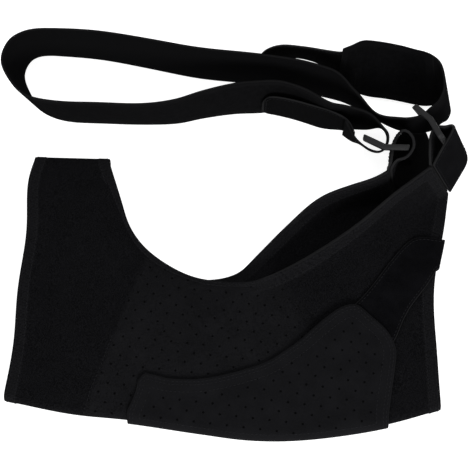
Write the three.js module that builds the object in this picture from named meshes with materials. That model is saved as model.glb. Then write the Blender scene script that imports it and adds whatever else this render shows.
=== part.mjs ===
// A single-shoulder brace of perforated neoprene, laid out flat and folded, with its long
// adjustment strap threaded through two plastic ring buckles.
// Millimetres, +Z up. X runs along the body from the shoulder fold to the ring tabs, and Y
// away from the front. The origin is the middle of the bottom of the whole brace.
import * as THREE from "three";

// Body: the sheet that forms the sleeve and the shoulder
const BODY_LENGTH = 368;
const BODY_DEPTH = 249;
const NEOPRENE = 3;
const FOLD_HEIGHT = 8.5;
const SLEEVE_LOFT = 7;
const NECK_RISE = 43;
const BODY_COLUMNS = 40;
const SHOULDER_COLUMNS = 6;
const PANEL_ROWS = 14;
const TAB_ROWS = 4;
const FOLD_STEPS = 5;

// Cuff panel and closing band, both sewn on the front
const CUFF_THICKNESS = 2.4;
const CUFF_UNDER = 120;
const CUFF_COLUMNS = 30;
const CUFF_ROWS = 8;
const CUFF_FOLD_STEPS = 5;
const BAND_THICKNESS = 1.6;
const BAND_WRAP = 9;
const BAND_COLUMNS = 14;
const BAND_ROWS = 5;
const BAND_FOLD_STEPS = 5;

// Ring tabs, ring buckles and strap
const TAB_THICKNESS = 2.2;
const TAB_WIDTH = 48;
const STRAP_WIDTH = 50;
const STRAP_THICKNESS = 2;
const RUN_LENGTH = 252;
const HOOK_TAB_WIDTH = 35;
const HOOK_TAB_THICKNESS = 1.6;
const RING_LENGTH = 39;
const RING_BAR = 4.4;
const RING_PLATE = 5;
const SLOT_CLEARANCE = 5;

// Room left between pieces that touch
const GAP = 0.35;

const MATERIALS = {
  neoprene: new THREE.MeshStandardMaterial({ color: 0x17171a, roughness: 0.95 }),
  cuff: new THREE.MeshStandardMaterial({ color: 0x1b1b1e, roughness: 0.95 }),
  plush: new THREE.MeshStandardMaterial({ color: 0x121214, roughness: 1 }),
  webbing: new THREE.MeshStandardMaterial({ color: 0x151517, roughness: 0.85 }),
  hook: new THREE.MeshStandardMaterial({ color: 0x202022, roughness: 0.7 }),
  plastic: new THREE.MeshStandardMaterial({ color: 0x4a4a4c, roughness: 0.45 }),
};

// The outline tables give places as shares of BODY_LENGTH and BODY_DEPTH, from the lower
// left corner, and rise as a share of NECK_RISE.
const SHOULDER_LINE = [
  { along: 0.025, up: 0.983, rise: 0 },
  { along: 0.203, up: 0.975, rise: 0 },
];
const FRONT_NECKLINE = [
  { along: 0.203, up: 0.975, rise: 0 },
  { along: 0.234, up: 0.833, rise: 0.01 },
  { along: 0.257, up: 0.727, rise: 0.02 },
  { along: 0.301, up: 0.637, rise: 0.03 },
  { along: 0.397, up: 0.543, rise: 0.06 },
  { along: 0.476, up: 0.52, rise: 0.1 },
  { along: 0.532, up: 0.518, rise: 0.16 },
  { along: 0.599, up: 0.547, rise: 0.28 },
  { along: 0.689, up: 0.614, rise: 0.44 },
  { along: 0.78, up: 0.7, rise: 0.62 },
  { along: 0.871, up: 0.809, rise: 0.85 },
  { along: 0.942, up: 0.888, rise: 1 },
];
const BACK_NECKLINE = [
  { along: 0.203, up: 0.975, rise: 0 },
  { along: 0.234, up: 0.833, rise: 0 },
  { along: 0.257, up: 0.727, rise: 0 },
  { along: 0.301, up: 0.637, rise: 0 },
  { along: 0.397, up: 0.552, rise: 0 },
  { along: 0.499, up: 0.565, rise: 0.03 },
  { along: 0.544, up: 0.625, rise: 0.08 },
  { along: 0.613, up: 0.723, rise: 0.22 },
  { along: 0.694, up: 0.82, rise: 0.42 },
  { along: 0.762, up: 0.85, rise: 0.6 },
  { along: 0.818, up: 0.861, rise: 0.82 },
  { along: 0.845, up: 0.873, rise: 1 },
];
const LEFT_EDGE = [
  { along: 0.025, up: 0.983 },
  { along: 0.013, up: 0.91 },
  { along: 0.015, up: 0.835 },
  { along: 0.021, up: 0.71 },
  { along: 0.012, up: 0.5 },
  { along: 0.014, up: 0.32 },
  { along: 0.008, up: 0.21 },
  { along: 0.003, up: 0.152 },
];
const BOTTOM_EDGE = [
  { along: 0.003, up: 0.152 },
  { along: 0.149, up: 0.108 },
  { along: 0.274, up: 0.089 },
  { along: 0.424, up: 0.056 },
  { along: 0.53, up: 0.036 },
  { along: 0.637, up: 0.036 },
  { along: 0.807, up: 0.07 },
  { along: 0.939, up: 0.122 },
];
const FRONT_RIGHT_EDGE = [
  { along: 1.0, up: 0.873 },
  { along: 0.985, up: 0.749 },
  { along: 0.968, up: 0.655 },
  { along: 0.949, up: 0.551 },
  { along: 0.94, up: 0.434 },
  { along: 0.94, up: 0.3 },
  { along: 0.939, up: 0.2 },
  { along: 0.939, up: 0.122 },
];
const BACK_RIGHT_EDGE = [
  { along: 0.868, up: 0.858 },
  { along: 0.905, up: 0.75 },
  { along: 0.925, up: 0.64 },
  { along: 0.93, up: 0.53 },
  { along: 0.933, up: 0.42 },
  { along: 0.935, up: 0.3 },
  { along: 0.937, up: 0.2 },
  { along: 0.939, up: 0.122 },
];

// The back panel's free corner lies flat beside the ring tabs. Its rows cross it from the left
// side to the right, and it grows from the back's right edge below CORNER_ROW.
const CORNER_ROW = 4;
const CORNER_LEFT = [
  { along: 0.865, up: 0.93 },
  { along: 0.868, up: 1.0 },
  { along: 0.88, up: 1.07 },
  { along: 0.905, up: 1.12 },
];
const CORNER_RIGHT = [
  { along: 0.935, up: 0.82 },
  { along: 0.974, up: 0.915 },
  { along: 0.98, up: 1.01 },
  { along: 0.96, up: 1.125 },
];

// A place on the plan from a row of shares.
function planPoint(row) {
  return new THREE.Vector3(row.along * BODY_LENGTH, row.up * BODY_DEPTH, (row.rise ?? 0) * NECK_RISE);
}

// A smooth curve through the rows of an outline table.
function outlineCurve(rows) {
  return new THREE.CatmullRomCurve3(rows.map(planPoint), false, "centripetal");
}

const shoulderCurve = outlineCurve(SHOULDER_LINE);
const frontNeckCurve = outlineCurve(FRONT_NECKLINE);
const backNeckCurve = outlineCurve(BACK_NECKLINE);
const leftCurve = outlineCurve(LEFT_EDGE);
const bottomCurve = outlineCurve(BOTTOM_EDGE);
const frontRightCurve = outlineCurve(FRONT_RIGHT_EDGE);
const backRightCurve = outlineCurve(BACK_RIGHT_EDGE);

const SHOULDER_SHARE = SHOULDER_COLUMNS / BODY_COLUMNS;
const TAB_SHARE = TAB_ROWS / PANEL_ROWS;
const BACK_LEVEL = NEOPRENE / 2;
const FRONT_LEVEL = BACK_LEVEL + FOLD_HEIGHT;

function smoothStep(from, to, value) {
  return THREE.MathUtils.smoothstep(value, from, to);
}

// Upper edge of a panel: the shoulder fold, then the neckline.
function upperEdge(neckCurve, u) {
  if (u <= SHOULDER_SHARE) return shoulderCurve.getPointAt(u / SHOULDER_SHARE);
  return neckCurve.getPointAt((u - SHOULDER_SHARE) / (1 - SHOULDER_SHARE));
}

// Right edge of a panel: the end that carries the ring tab, then the open edge of the body.
function rightEdge(neckCurve, edgeCurve, v) {
  if (v >= TAB_SHARE) return edgeCurve.getPointAt((v - TAB_SHARE) / (1 - TAB_SHARE));
  const top = neckCurve.getPointAt(1);
  return top.lerp(edgeCurve.getPointAt(0), v / TAB_SHARE);
}

// Plan of a panel, blended from its four edges; u runs along the body and v down to the fold.
function planOf(neckCurve, edgeCurve, u, v) {
  const top = upperEdge(neckCurve, u);
  const bottom = bottomCurve.getPointAt(u);
  const left = leftCurve.getPointAt(v);
  const right = rightEdge(neckCurve, edgeCurve, v);
  const corners = [
    [upperEdge(neckCurve, 0), (1 - u) * (1 - v)],
    [upperEdge(neckCurve, 1), u * (1 - v)],
    [bottomCurve.getPointAt(0), (1 - u) * v],
    [bottomCurve.getPointAt(1), u * v],
  ];
  const place = new THREE.Vector3();
  place.addScaledVector(top, 1 - v);
  place.addScaledVector(bottom, v);
  place.addScaledVector(left, 1 - u);
  place.addScaledVector(right, u);
  for (const [corner, weight] of corners) place.addScaledVector(corner, -weight);
  return place;
}

// How much of the neckline's rise is left at a place down the panel.
function riseLeft(u, v, reach) {
  const span = THREE.MathUtils.lerp(reach, TAB_SHARE, smoothStep(0.72, 1, u));
  const rest = Math.max(0, 1 - v / span);
  return THREE.MathUtils.lerp(rest * rest, rest, smoothStep(0.85, 1, u));
}

function frontPoint(u, v) {
  const place = planOf(frontNeckCurve, frontRightCurve, u, v);
  const rise = upperEdge(frontNeckCurve, u).z;
  const loft = SLEEVE_LOFT * Math.sin(Math.PI * u) * Math.sin(Math.PI * Math.min(v, 1));
  const endDip = smoothStep(0.86, 1, u) * (1 - smoothStep(TAB_SHARE, TAB_SHARE + 0.3, v));
  const level = THREE.MathUtils.lerp(FRONT_LEVEL, BACK_LEVEL + GAP, endDip);
  place.z = level + loft + rise * riseLeft(u, v, 0.6);
  return place;
}

function backPoint(u, v) {
  const place = planOf(backNeckCurve, backRightCurve, u, v);
  const rise = upperEdge(backNeckCurve, u).z;
  place.z = BACK_LEVEL + rise * riseLeft(u, v, 0.45);
  return place;
}

// Points of a half-round fold from one place to the place below it, bulging along outward.
function foldPoints(from, to, outward, steps) {
  const centre = from.clone().add(to).multiplyScalar(0.5);
  const radius = from.distanceTo(to) / 2;
  const up = from.clone().sub(centre).normalize();
  const points = [];
  for (let step = 1; step < steps; step += 1) {
    const angle = (Math.PI * step) / steps;
    const point = centre.clone();
    point.addScaledVector(up, radius * Math.cos(angle));
    point.addScaledVector(outward, radius * Math.sin(angle));
    points.push(point);
  }
  return points;
}

// A closed sheet of even thickness from mid-surface points and the four-sided cells between them.
function thickSheet(points, cells, thickness) {
  const normals = points.map(() => new THREE.Vector3());
  for (const [a, b, c, d] of cells) {
    const across = points[c].clone().sub(points[a]);
    const normal = across.cross(points[d].clone().sub(points[b]));
    for (const corner of [a, b, c, d]) normals[corner].add(normal);
  }
  const positions = [];
  for (const side of [0.5, -0.5]) {
    points.forEach((point, index) => {
      const offset = normals[index].clone().normalize().multiplyScalar(side * thickness);
      positions.push(point.x + offset.x, point.y + offset.y, point.z + offset.z);
    });
  }
  const under = points.length;
  const triangles = [];
  const edges = new Map();
  for (const cell of cells) {
    const [a, b, c, d] = cell;
    triangles.push(a, b, c, a, c, d);
    triangles.push(under + a, under + c, under + b, under + a, under + d, under + c);
    cell.forEach((from, index) => edges.set(`${from},${cell[(index + 1) % 4]}`, [from, cell[(index + 1) % 4]]));
  }
  for (const [from, to] of edges.values()) {
    if (edges.has(`${to},${from}`)) continue;
    triangles.push(from, under + from, to, to, under + from, under + to);
  }
  const geometry = new THREE.BufferGeometry();
  geometry.setAttribute("position", new THREE.Float32BufferAttribute(positions, 3));
  geometry.setIndex(triangles);
  geometry.computeVertexNormals();
  return geometry;
}

// Cells of a grid of points that is stored column by column.
function gridCells(columns, rows) {
  const cells = [];
  for (let column = 0; column < columns; column += 1) {
    for (let row = 0; row < rows; row += 1) {
      const here = column * (rows + 1) + row;
      cells.push([here, here + 1, here + rows + 2, here + rows + 1]);
    }
  }
  return cells;
}

// Body: front and back panels in one sheet, folded along the bottom and over the shoulder
function bodyGeometry() {
  const points = [];
  const cells = [];
  const columnStarts = [];
  const ringRows = 2 * PANEL_ROWS + FOLD_STEPS;
  for (let column = 0; column <= BODY_COLUMNS; column += 1) {
    const u = column / BODY_COLUMNS;
    columnStarts.push(points.length);
    for (let row = 0; row <= PANEL_ROWS; row += 1) points.push(frontPoint(u, row / PANEL_ROWS));
    const outward = new THREE.Vector3(0, -1, 0);
    points.push(...foldPoints(frontPoint(u, 1), backPoint(u, 1), outward, FOLD_STEPS));
    for (let row = PANEL_ROWS; row >= 0; row -= 1) points.push(backPoint(u, row / PANEL_ROWS));
    if (column > SHOULDER_COLUMNS) continue;
    const inward = new THREE.Vector3(0, 1, 0);
    points.push(...foldPoints(backPoint(u, 0), frontPoint(u, 0), inward, FOLD_STEPS));
  }
  for (let column = 0; column < BODY_COLUMNS; column += 1) {
    const closed = column < SHOULDER_COLUMNS;
    const rows = closed ? ringRows + FOLD_STEPS : ringRows;
    const here = columnStarts[column];
    const next = columnStarts[column + 1];
    for (let row = 0; row < rows; row += 1) {
      const below = closed && row === rows - 1 ? 0 : row + 1;
      cells.push([here + row, here + below, next + below, next + row]);
    }
  }
  let right = columnStarts[BODY_COLUMNS] + ringRows - CORNER_ROW - 1;
  let left = right + 1;
  CORNER_LEFT.forEach((row, index) => {
    for (const place of [CORNER_RIGHT[index], row]) points.push(planPoint(place).setZ(BACK_LEVEL));
    cells.push([right, left, points.length - 1, points.length - 2]);
    right = points.length - 2;
    left = points.length - 1;
  });
  return thickSheet(points, cells, NEOPRENE);
}

// Edges of the cuff and the band, as places on the front panel's plan
const CUFF_TOP = [
  { along: 0.289, up: 0.156 },
  { along: 0.294, up: 0.202 },
  { along: 0.311, up: 0.211 },
  { along: 0.345, up: 0.194 },
  { along: 0.381, up: 0.189 },
  { along: 0.424, up: 0.189 },
  { along: 0.466, up: 0.199 },
  { along: 0.51, up: 0.215 },
  { along: 0.548, up: 0.232 },
  { along: 0.574, up: 0.248 },
  { along: 0.607, up: 0.281 },
  { along: 0.64, up: 0.315 },
  { along: 0.685, up: 0.376 },
  { along: 0.731, up: 0.428 },
  { along: 0.753, up: 0.439 },
  { along: 0.765, up: 0.44 },
  { along: 0.796, up: 0.397 },
  { along: 0.827, up: 0.356 },
  { along: 0.843, up: 0.312 },
  { along: 0.848, up: 0.281 },
];
const CUFF_BOTTOM_START = 0.285;
const CUFF_BOTTOM_END = 0.875;
const BAND_UPPER = [
  { along: 0.72, up: 0.385 },
  { along: 0.767, up: 0.445 },
  { along: 0.795, up: 0.49 },
  { along: 0.824, up: 0.547 },
  { along: 0.873, up: 0.641 },
  { along: 0.898, up: 0.678 },
  { along: 0.92, up: 0.69 },
  { along: 0.972, up: 0.678 },
];
const BAND_LOWER = [
  { along: 0.81, up: 0.27 },
  { along: 0.844, up: 0.314 },
  { along: 0.867, up: 0.385 },
  { along: 0.886, up: 0.434 },
  { along: 0.906, up: 0.473 },
  { along: 0.923, up: 0.504 },
  { along: 0.954, up: 0.572 },
];

// Where on the front panel's sheet a place on its plan is.
function sheetShare(place) {
  const share = new THREE.Vector2(place.x / BODY_LENGTH, 1 - place.y / BODY_DEPTH);
  const probe = 1e-3;
  for (let pass = 0; pass < 8; pass += 1) {
    const here = planOf(frontNeckCurve, frontRightCurve, share.x, share.y);
    const stepU = planOf(frontNeckCurve, frontRightCurve, share.x - probe, share.y).sub(here).divideScalar(-probe);
    const stepV = planOf(frontNeckCurve, frontRightCurve, share.x, share.y - probe).sub(here).divideScalar(-probe);
    const missX = place.x - here.x;
    const missY = place.y - here.y;
    const area = stepU.x * stepV.y - stepU.y * stepV.x;
    share.x = THREE.MathUtils.clamp(share.x + (missX * stepV.y - missY * stepV.x) / area, probe, 1);
    share.y = THREE.MathUtils.clamp(share.y + (missY * stepU.x - missX * stepU.y) / area, probe, 1);
  }
  return share;
}

function frontNormal(u, v) {
  const probe = 1e-3;
  const here = frontPoint(u, v);
  const stepU = here.clone().sub(frontPoint(u - probe, v));
  const stepV = here.clone().sub(frontPoint(u, v - probe));
  return stepV.cross(stepU).normalize();
}

// A place above the front panel's outer face, lift away from its middle.
function frontLift(u, v, lift) {
  return frontPoint(u, v).addScaledVector(frontNormal(u, v), lift);
}

const ON_BODY = NEOPRENE / 2 + GAP;
const OVER_BAND = BAND_THICKNESS + 2 * GAP;

// Cuff: a stiff panel on the front that follows the body round its bottom fold
function cuffGeometry() {
  const topCurve = outlineCurve(CUFF_TOP);
  const points = [];
  const lift = ON_BODY + CUFF_THICKNESS / 2;
  const foldRadius = FOLD_HEIGHT / 2 + lift;
  for (let column = 0; column <= CUFF_COLUMNS; column += 1) {
    const along = column / CUFF_COLUMNS;
    const top = sheetShare(topCurve.getPointAt(along));
    const bottomU = THREE.MathUtils.lerp(CUFF_BOTTOM_START, CUFF_BOTTOM_END, along);
    for (let row = 0; row <= CUFF_ROWS; row += 1) {
      const down = row / CUFF_ROWS;
      const u = THREE.MathUtils.lerp(top.x, bottomU, down);
      const v = THREE.MathUtils.lerp(top.y, 1, down);
      const overBand = smoothStep(0.52, 0.66, along) * (1 - smoothStep(0.3, 0.75, down));
      points.push(frontLift(u, v, lift + overBand * OVER_BAND));
    }
    const centre = frontPoint(bottomU, 1);
    centre.z -= FOLD_HEIGHT / 2;
    for (let step = 1; step <= CUFF_FOLD_STEPS; step += 1) {
      const angle = THREE.MathUtils.degToRad((CUFF_UNDER * step) / CUFF_FOLD_STEPS);
      const point = centre.clone();
      point.y -= foldRadius * Math.sin(angle);
      point.z += foldRadius * Math.cos(angle);
      points.push(point);
    }
  }
  return thickSheet(points, gridCells(CUFF_COLUMNS, CUFF_ROWS + CUFF_FOLD_STEPS), CUFF_THICKNESS);
}

// Closing band: starts under the cuff, crosses the front and turns round its right edge
function bandGeometry() {
  const upperCurve = outlineCurve(BAND_UPPER);
  const lowerCurve = outlineCurve(BAND_LOWER);
  const lift = ON_BODY + GAP + BAND_THICKNESS / 2;
  const points = [];
  for (let row = 0; row <= BAND_ROWS; row += 1) {
    const down = row / BAND_ROWS;
    let share = new THREE.Vector2();
    for (let column = 0; column <= BAND_COLUMNS; column += 1) {
      const along = column / BAND_COLUMNS;
      const place = upperCurve.getPointAt(along).lerp(lowerCurve.getPointAt(along), down);
      share = sheetShare(place);
      if (column === BAND_COLUMNS) share.x = 1;
      points.push(frontLift(share.x, share.y, lift));
    }
    const edge = frontPoint(1, share.y);
    const up = frontNormal(1, share.y);
    const out = edge.clone().sub(frontPoint(0.98, share.y)).normalize();
    for (let step = 1; step <= BAND_FOLD_STEPS; step += 1) {
      const angle = (Math.PI * step) / BAND_FOLD_STEPS;
      const point = edge.clone().addScaledVector(up, lift * Math.cos(angle));
      points.push(point.addScaledVector(out, lift * Math.sin(angle)));
    }
    const under = edge.clone().addScaledVector(up, -lift);
    points.push(under.addScaledVector(out, -BAND_WRAP));
  }
  return thickSheet(points, gridCells(BAND_ROWS, BAND_COLUMNS + BAND_FOLD_STEPS + 1), BAND_THICKNESS);
}

// Ring buckles: each is placed by its tab bar, which the ring tab goes round, and its strap
// bar lies one bar pitch away. lean is the tilt of the bars, which stand nearly upright.
const RING_HEIGHT = STRAP_WIDTH + SLOT_CLEARANCE + 2 * RING_BAR;
const BAR_PITCH = RING_LENGTH - RING_BAR;

// A ring's frame: pull points from the tab bar to the strap bar, rise along the bars. It stands
// on what lies under it, floor above the ground.
function ringFrame(tabBar, heading, lean, bend, floor) {
  const turn = THREE.MathUtils.degToRad(heading);
  const tilt = THREE.MathUtils.degToRad(lean);
  const pull = new THREE.Vector3(Math.cos(turn), Math.sin(turn), 0);
  const side = new THREE.Vector3(Math.sin(turn), -Math.cos(turn), 0);
  const rise = side.clone().multiplyScalar(Math.sin(tilt));
  rise.z = Math.cos(tilt);
  const face = new THREE.Vector3().crossVectors(pull, rise);
  const dip = Math.max(0, -(BAR_PITCH / 2) * Math.tan(THREE.MathUtils.degToRad(bend / 2)) * face.z);
  const centre = tabBar.clone();
  centre.z = floor + (RING_HEIGHT / 2) * rise.z + (RING_PLATE / 2) * Math.abs(face.z) + dip + 2 * GAP;
  const strapBar = centre.clone().addScaledVector(pull, BAR_PITCH);
  return { floor, pull, rise, face, bend, tabBar: centre, strapBar };
}

// Where a panel's end line lies: its middle, the direction up its edge and its length.
function endLine(pointOf) {
  const top = pointOf(1, 0);
  const low = pointOf(1, TAB_SHARE);
  const middle = top.clone().add(low).multiplyScalar(0.5);
  return { middle, rise: top.clone().sub(low).normalize(), length: top.distanceTo(low) };
}

const frontEnd = endLine(frontPoint);
const backEnd = endLine(backPoint);

// The tab bars lie beyond the panels' ends, in shares of TAB_WIDTH.
const FRONT_BAR_OFFSET = { along: 0.156, away: 0.642 };
const BACK_BAR_OFFSET = { along: 0.275, away: 0.596 };

function barPlace(end, offset) {
  const shift = new THREE.Vector3(offset.along, offset.away, 0).multiplyScalar(TAB_WIDTH);
  return end.middle.clone().add(shift);
}

const frontRing = ringFrame(barPlace(frontEnd, FRONT_BAR_OFFSET), 124, -26, 18, 0);
const backRing = ringFrame(barPlace(backEnd, BACK_BAR_OFFSET), 165, -29, -24, NEOPRENE + GAP);

// A ring: a bar section carried round a rounded rectangle that is bent across its middle.
function ringGeometry(frame) {
  const halfLength = BAR_PITCH / 2;
  const halfHeight = (RING_HEIGHT - RING_BAR) / 2;
  const corner = RING_BAR * 0.8;
  const bend = Math.tan(THREE.MathUtils.degToRad(frame.bend / 2));
  const path = [];
  const quarter = 3;
  const corners = [
    [1, 1, 0],
    [-1, 1, 90],
    [-1, -1, 180],
    [1, -1, 270],
  ];
  for (const [sideX, sideY, start] of corners) {
    for (let step = 0; step <= quarter; step += 1) {
      const angle = THREE.MathUtils.degToRad(start + (90 * step) / quarter);
      const x = sideX * (halfLength - corner) + corner * Math.cos(angle);
      const y = sideY * (halfHeight - corner) + corner * Math.sin(angle);
      path.push({ x, y, outX: Math.cos(angle), outY: Math.sin(angle) });
    }
    if (start === 0) path.push({ x: 0, y: halfHeight, outX: 0, outY: 1 });
    if (start === 180) path.push({ x: 0, y: -halfHeight, outX: 0, outY: -1 });
  }
  const chamfer = 0.28;
  const w = RING_BAR / 2;
  const t = RING_PLATE / 2;
  const section = [
    [w, t * (1 - chamfer)],
    [w * (1 - chamfer), t],
    [-w * (1 - chamfer), t],
    [-w, t * (1 - chamfer)],
    [-w, -t * (1 - chamfer)],
    [-w * (1 - chamfer), -t],
    [w * (1 - chamfer), -t],
    [w, -t * (1 - chamfer)],
  ];
  const centre = frame.tabBar.clone().addScaledVector(frame.pull, halfLength);
  const positions = [];
  for (const stop of path) {
    for (const [out, through] of section) {
      const x = stop.x + stop.outX * out;
      const y = stop.y + stop.outY * out;
      const point = centre.clone();
      point.addScaledVector(frame.pull, x);
      point.addScaledVector(frame.rise, y);
      point.addScaledVector(frame.face, through + (halfLength - Math.abs(x)) * bend);
      positions.push(point.x, point.y, point.z);
    }
  }
  const triangles = [];
  const sides = section.length;
  for (let stop = 0; stop < path.length; stop += 1) {
    const next = (stop + 1) % path.length;
    for (let side = 0; side < sides; side += 1) {
      const turn = (side + 1) % sides;
      const a = stop * sides + side;
      const b = stop * sides + turn;
      const c = next * sides + turn;
      const d = next * sides + side;
      triangles.push(a, c, b, a, d, c);
    }
  }
  const geometry = new THREE.BufferGeometry();
  geometry.setAttribute("position", new THREE.Float32BufferAttribute(positions, 3));
  geometry.setIndex(triangles);
  geometry.computeVertexNormals();
  return geometry;
}

// A ribbon through stations, each with its centre, its direction across and its width.
function ribbonGeometry(stations, thickness, stepsEach) {
  const centres = new THREE.CatmullRomCurve3(stations.map((s) => s.centre), false, "centripetal");
  const acrosses = new THREE.CatmullRomCurve3(stations.map((s) => s.across), false, "catmullrom", 0.5);
  const widths = new THREE.CatmullRomCurve3(
    stations.map((s, index) => new THREE.Vector3(s.width, index, 0)), false, "catmullrom", 0.5);
  const points = [];
  const total = (stations.length - 1) * stepsEach;
  for (let step = 0; step <= total; step += 1) {
    const share = step / total;
    const across = acrosses.getPoint(share).normalize();
    const half = widths.getPoint(share).x / 2;
    const centre = centres.getPoint(share);
    points.push(centre.clone().addScaledVector(across, -half));
    points.push(centre.clone().addScaledVector(across, half));
  }
  return thickSheet(points, gridCells(total, 1), thickness);
}

// Ring tabs: a loop from the panel's end, round the tab bar and back. Each row is a place on
// the loop seen from above, in shares of TAB_WIDTH from the bar; leanX and leanY tip its upper
// edge, and a row without them lies along the ring's bars.
const FRONT_TAB_LOOP = [
  { along: 0.067, away: -0.315, leanX: -0.46, leanY: 0.08 },
  { along: 0.18, away: -0.127, leanX: -0.45, leanY: 0.07 },
  { along: 0.235, away: 0.04, leanX: -0.4, leanY: 0.08 },
  { along: 0.19, away: 0.17, leanX: -0.38, leanY: -0.08 },
  { along: 0.07, away: 0.225 },
  { along: -0.09, away: 0.22 },
  { along: -0.19, away: 0.06 },
  { along: -0.215, away: -0.23, leanX: -0.38, leanY: -0.12 },
];
const BACK_TAB_LOOP = [
  { along: -0.183, away: -0.3, leanX: -0.1, leanY: -0.36 },
  { along: -0.016, away: -0.187 },
  { along: 0.11, away: -0.02 },
  { along: 0.133, away: 0.09 },
  { along: 0.11, away: 0.223 },
  { along: 0.033, away: 0.32 },
  { along: -0.055, away: 0.33 },
  { along: -0.165, away: 0.183 },
  { along: -0.238, away: -0.012 },
  { along: -0.293, away: -0.3 },
];

// The direction across a strap or tab at a row: as the row tips it, or along the ring's bars.
function rowAcross(row, frame) {
  if (row.leanX === undefined) return frame.rise;
  const direction = new THREE.Vector3(row.leanX, row.leanY, 0);
  direction.z = Math.sqrt(1 - direction.lengthSq());
  return direction;
}

function tabGeometry(end, frame, loop) {
  const toBar = frame.tabBar.clone().sub(end.middle).setZ(0).normalize();
  const sideways = new THREE.Vector3(toBar.y, -toBar.x, 0);
  const step = TAB_THICKNESS / 2 + GAP / 2;
  const start = end.middle.clone().addScaledVector(toBar, NEOPRENE / 2);
  start.addScaledVector(end.rise, frame.floor / 2);
  const width = TAB_WIDTH;
  const sewn = { across: end.rise, width: Math.min(TAB_WIDTH, end.length - frame.floor) };
  const stations = [{ ...sewn, centre: start.clone().addScaledVector(sideways, step) }];
  for (const row of loop) {
    const centre = frame.tabBar.clone();
    centre.x += row.along * TAB_WIDTH;
    centre.y += row.away * TAB_WIDTH;
    stations.push({ centre, across: rowAcross(row, frame), width });
  }
  stations.push({ ...sewn, centre: start.clone().addScaledVector(sideways, -step) });
  return ribbonGeometry(stations, TAB_THICKNESS, 3);
}

// Strap: each row is a ruling across the webbing, in shares of STRAP_WIDTH from a ring's strap
// bar. The tips are as for the tabs, and clear is the height of its lower edge.
const NEAR_LOOP = [
  { along: -0.34, away: 0.3, leanX: -0.05, leanY: -0.26, clear: 0.07 },
  { along: -0.22, away: 0.08, leanX: -0.1, leanY: -0.38, clear: 0.13 },
  { along: -0.1, away: -0.08 },
  { along: 0.08, away: -0.21 },
  { along: 0.24, away: -0.235 },
  { along: 0.345, away: -0.13 },
  { along: 0.37, away: 0.06 },
  { along: 0.27, away: 0.2 },
  { along: 0.074, away: 0.4, leanX: -0.08, leanY: -0.24, clear: 0.1 },
  { along: -0.352, away: 0.509, leanX: -0.02, leanY: -0.14, clear: 0.05 },
  { along: -0.611, away: 0.565, leanX: 0, leanY: -0.12, clear: 0.03 },
  { along: -0.944, away: 0.774, leanX: 0, leanY: -0.07, clear: 0.01 },
  { along: -1.11, away: 0.861, leanX: 0, leanY: -0.05, clear: 0 },
];
const FAR_LOOP = [
  { along: -2.14, away: 0.86, leanX: 0, leanY: 0.02, clear: 0 },
  { along: -1.8, away: 0.77, leanX: 0, leanY: -0.02, clear: 0.01 },
  { along: -1.53, away: 0.675, leanX: 0, leanY: -0.06, clear: 0.02 },
  { along: -1.34, away: 0.565, leanX: -0.08, leanY: -0.12, clear: 0.03 },
  { along: -1.17, away: 0.41, leanX: -0.14, leanY: -0.21, clear: 0.04 },
  { along: -1.04, away: 0.295, leanX: -0.16, leanY: -0.27, clear: 0.05 },
  { along: -0.81, away: 0.055, leanX: -0.21, leanY: -0.36, clear: 0.06 },
  { along: -0.635, away: -0.065, leanX: -0.23, leanY: -0.35, clear: 0.07 },
  { along: -0.385, away: -0.15, leanX: -0.25, leanY: -0.28, clear: 0.08 },
  { along: -0.12, away: -0.18 },
  { along: 0.09, away: -0.145 },
  { along: 0.225, away: -0.033 },
  { along: 0.38, away: 0.124, leanX: -0.32, leanY: -0.18, clear: 0.08 },
  { along: 0.48, away: 0.346, leanX: -0.28, leanY: -0.11, clear: 0.06 },
  { along: 0.46, away: 0.61, leanX: -0.24, leanY: 0.09, clear: 0.05 },
  { along: 0.39, away: 0.72, leanX: -0.2, leanY: 0.27, clear: 0.05 },
  { along: 0.25, away: 0.8, leanX: -0.17, leanY: 0.55, clear: 0.06 },
  { along: 0.04, away: 0.9, leanX: -0.1, leanY: 0.8, clear: 0.08 },
  { along: -0.27, away: 1.01, leanX: 0, leanY: 0.87, clear: 0.1 },
  { along: -0.55, away: 1.06, leanX: 0, leanY: 0.86, clear: 0.11 },
  { along: -0.8, away: 1.065, leanX: 0.04, leanY: 0.78, clear: 0.1 },
  { along: -1.0, away: 1.05, leanX: 0.04, leanY: 0.58, clear: 0.08 },
  { along: -1.2, away: 1.03, leanX: 0.04, leanY: 0.25, clear: 0.06 },
  { along: -1.37, away: 1.031, leanX: 0, leanY: 0.04, clear: 0.05 },
];
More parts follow.
